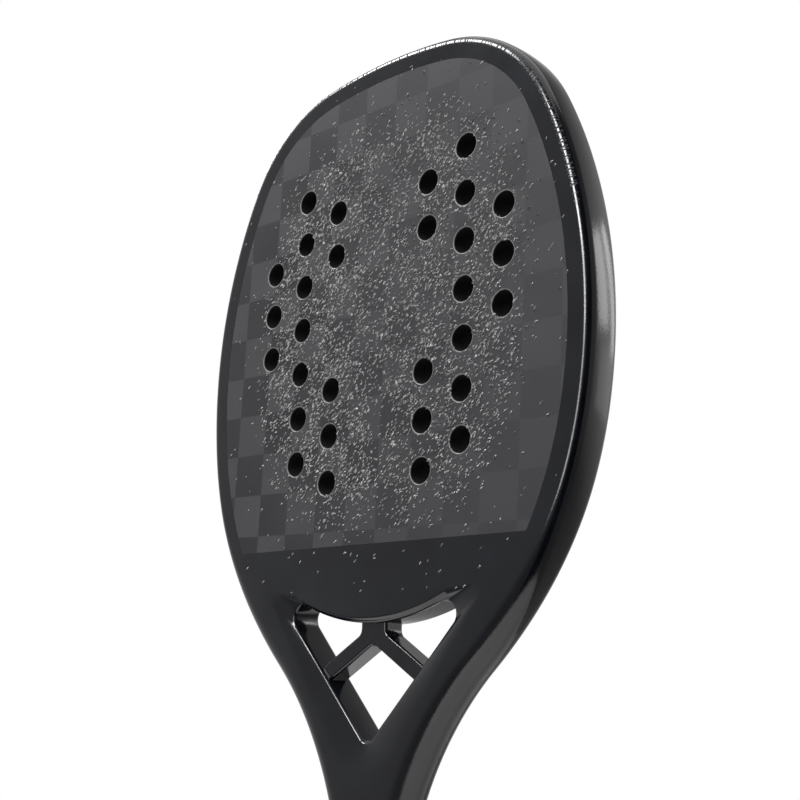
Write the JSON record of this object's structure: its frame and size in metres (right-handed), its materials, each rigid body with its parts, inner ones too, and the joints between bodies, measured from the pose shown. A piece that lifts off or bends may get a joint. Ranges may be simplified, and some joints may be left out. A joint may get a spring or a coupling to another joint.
{
  "type": "beach tennis racket",
  "caption": "Perforated black carbon paddle racket with a foam-core head, checkered gritty face, braced open throat and wrapped handle.",
  "frame": {"origin": "the middle of the hand grip on the racket's centre line", "axes": "+Z from the butt up to the crown, +X to the right seen from the front face, front face towards -Y"},
  "size_m": [0.2458, 0.0362, 0.5],
  "materials": {
    "frame_lacquer": "satin black lacquer over moulded carbon laminate",
    "brace_lacquer": "satin black lacquer on a moulded insert",
    "carbon_weave": "checkered wide-tow carbon cloth under matt lacquer",
    "glass_laminate": "glass cloth in epoxy, hidden",
    "core_foam": "black closed-cell foam",
    "filler_foam": "rigid filler foam, hidden",
    "grit": "translucent mineral grains set in clear lacquer",
    "handle_foam": "moulded structural foam, hidden",
    "cap_plastic": "fine-textured black moulded plastic",
    "staple_steel": "bright wire, hidden",
    "grip_polyurethane": "perforated soft polyurethane strip, wound in a spiral",
    "tape": "thin black finishing tape",
    "collar_rubber": "matt black rubber"
  },
  "bodies": {
    "root": {"frame_tube": "frame_lacquer", "bridge_tube": "frame_lacquer", "throat_brace": "brace_lacquer", "hoop_foam": "filler_foam", "left_arm_foam": "filler_foam", "right_arm_foam": "filler_foam", "shaft_foam": "filler_foam", "bridge_foam": "filler_foam", "foam_core": "core_foam", "front_glass_ply": "glass_laminate", "back_glass_ply": "glass_laminate", "front_carbon_ply": "carbon_weave", "back_carbon_ply": "carbon_weave", "front_yoke_ply": "frame_lacquer", "back_yoke_ply": "frame_lacquer", "front_grit_coat": "grit", "back_grit_coat": "grit", "front_pallet": "handle_foam", "back_pallet": "handle_foam", "butt_cap": "cap_plastic", "butt_plate": "cap_plastic", "cap_staples": "staple_steel", "grip_wrap": "grip_polyurethane", "finishing_tape": "tape", "grip_collar": "collar_rubber"}
  },
  "joints": []
}
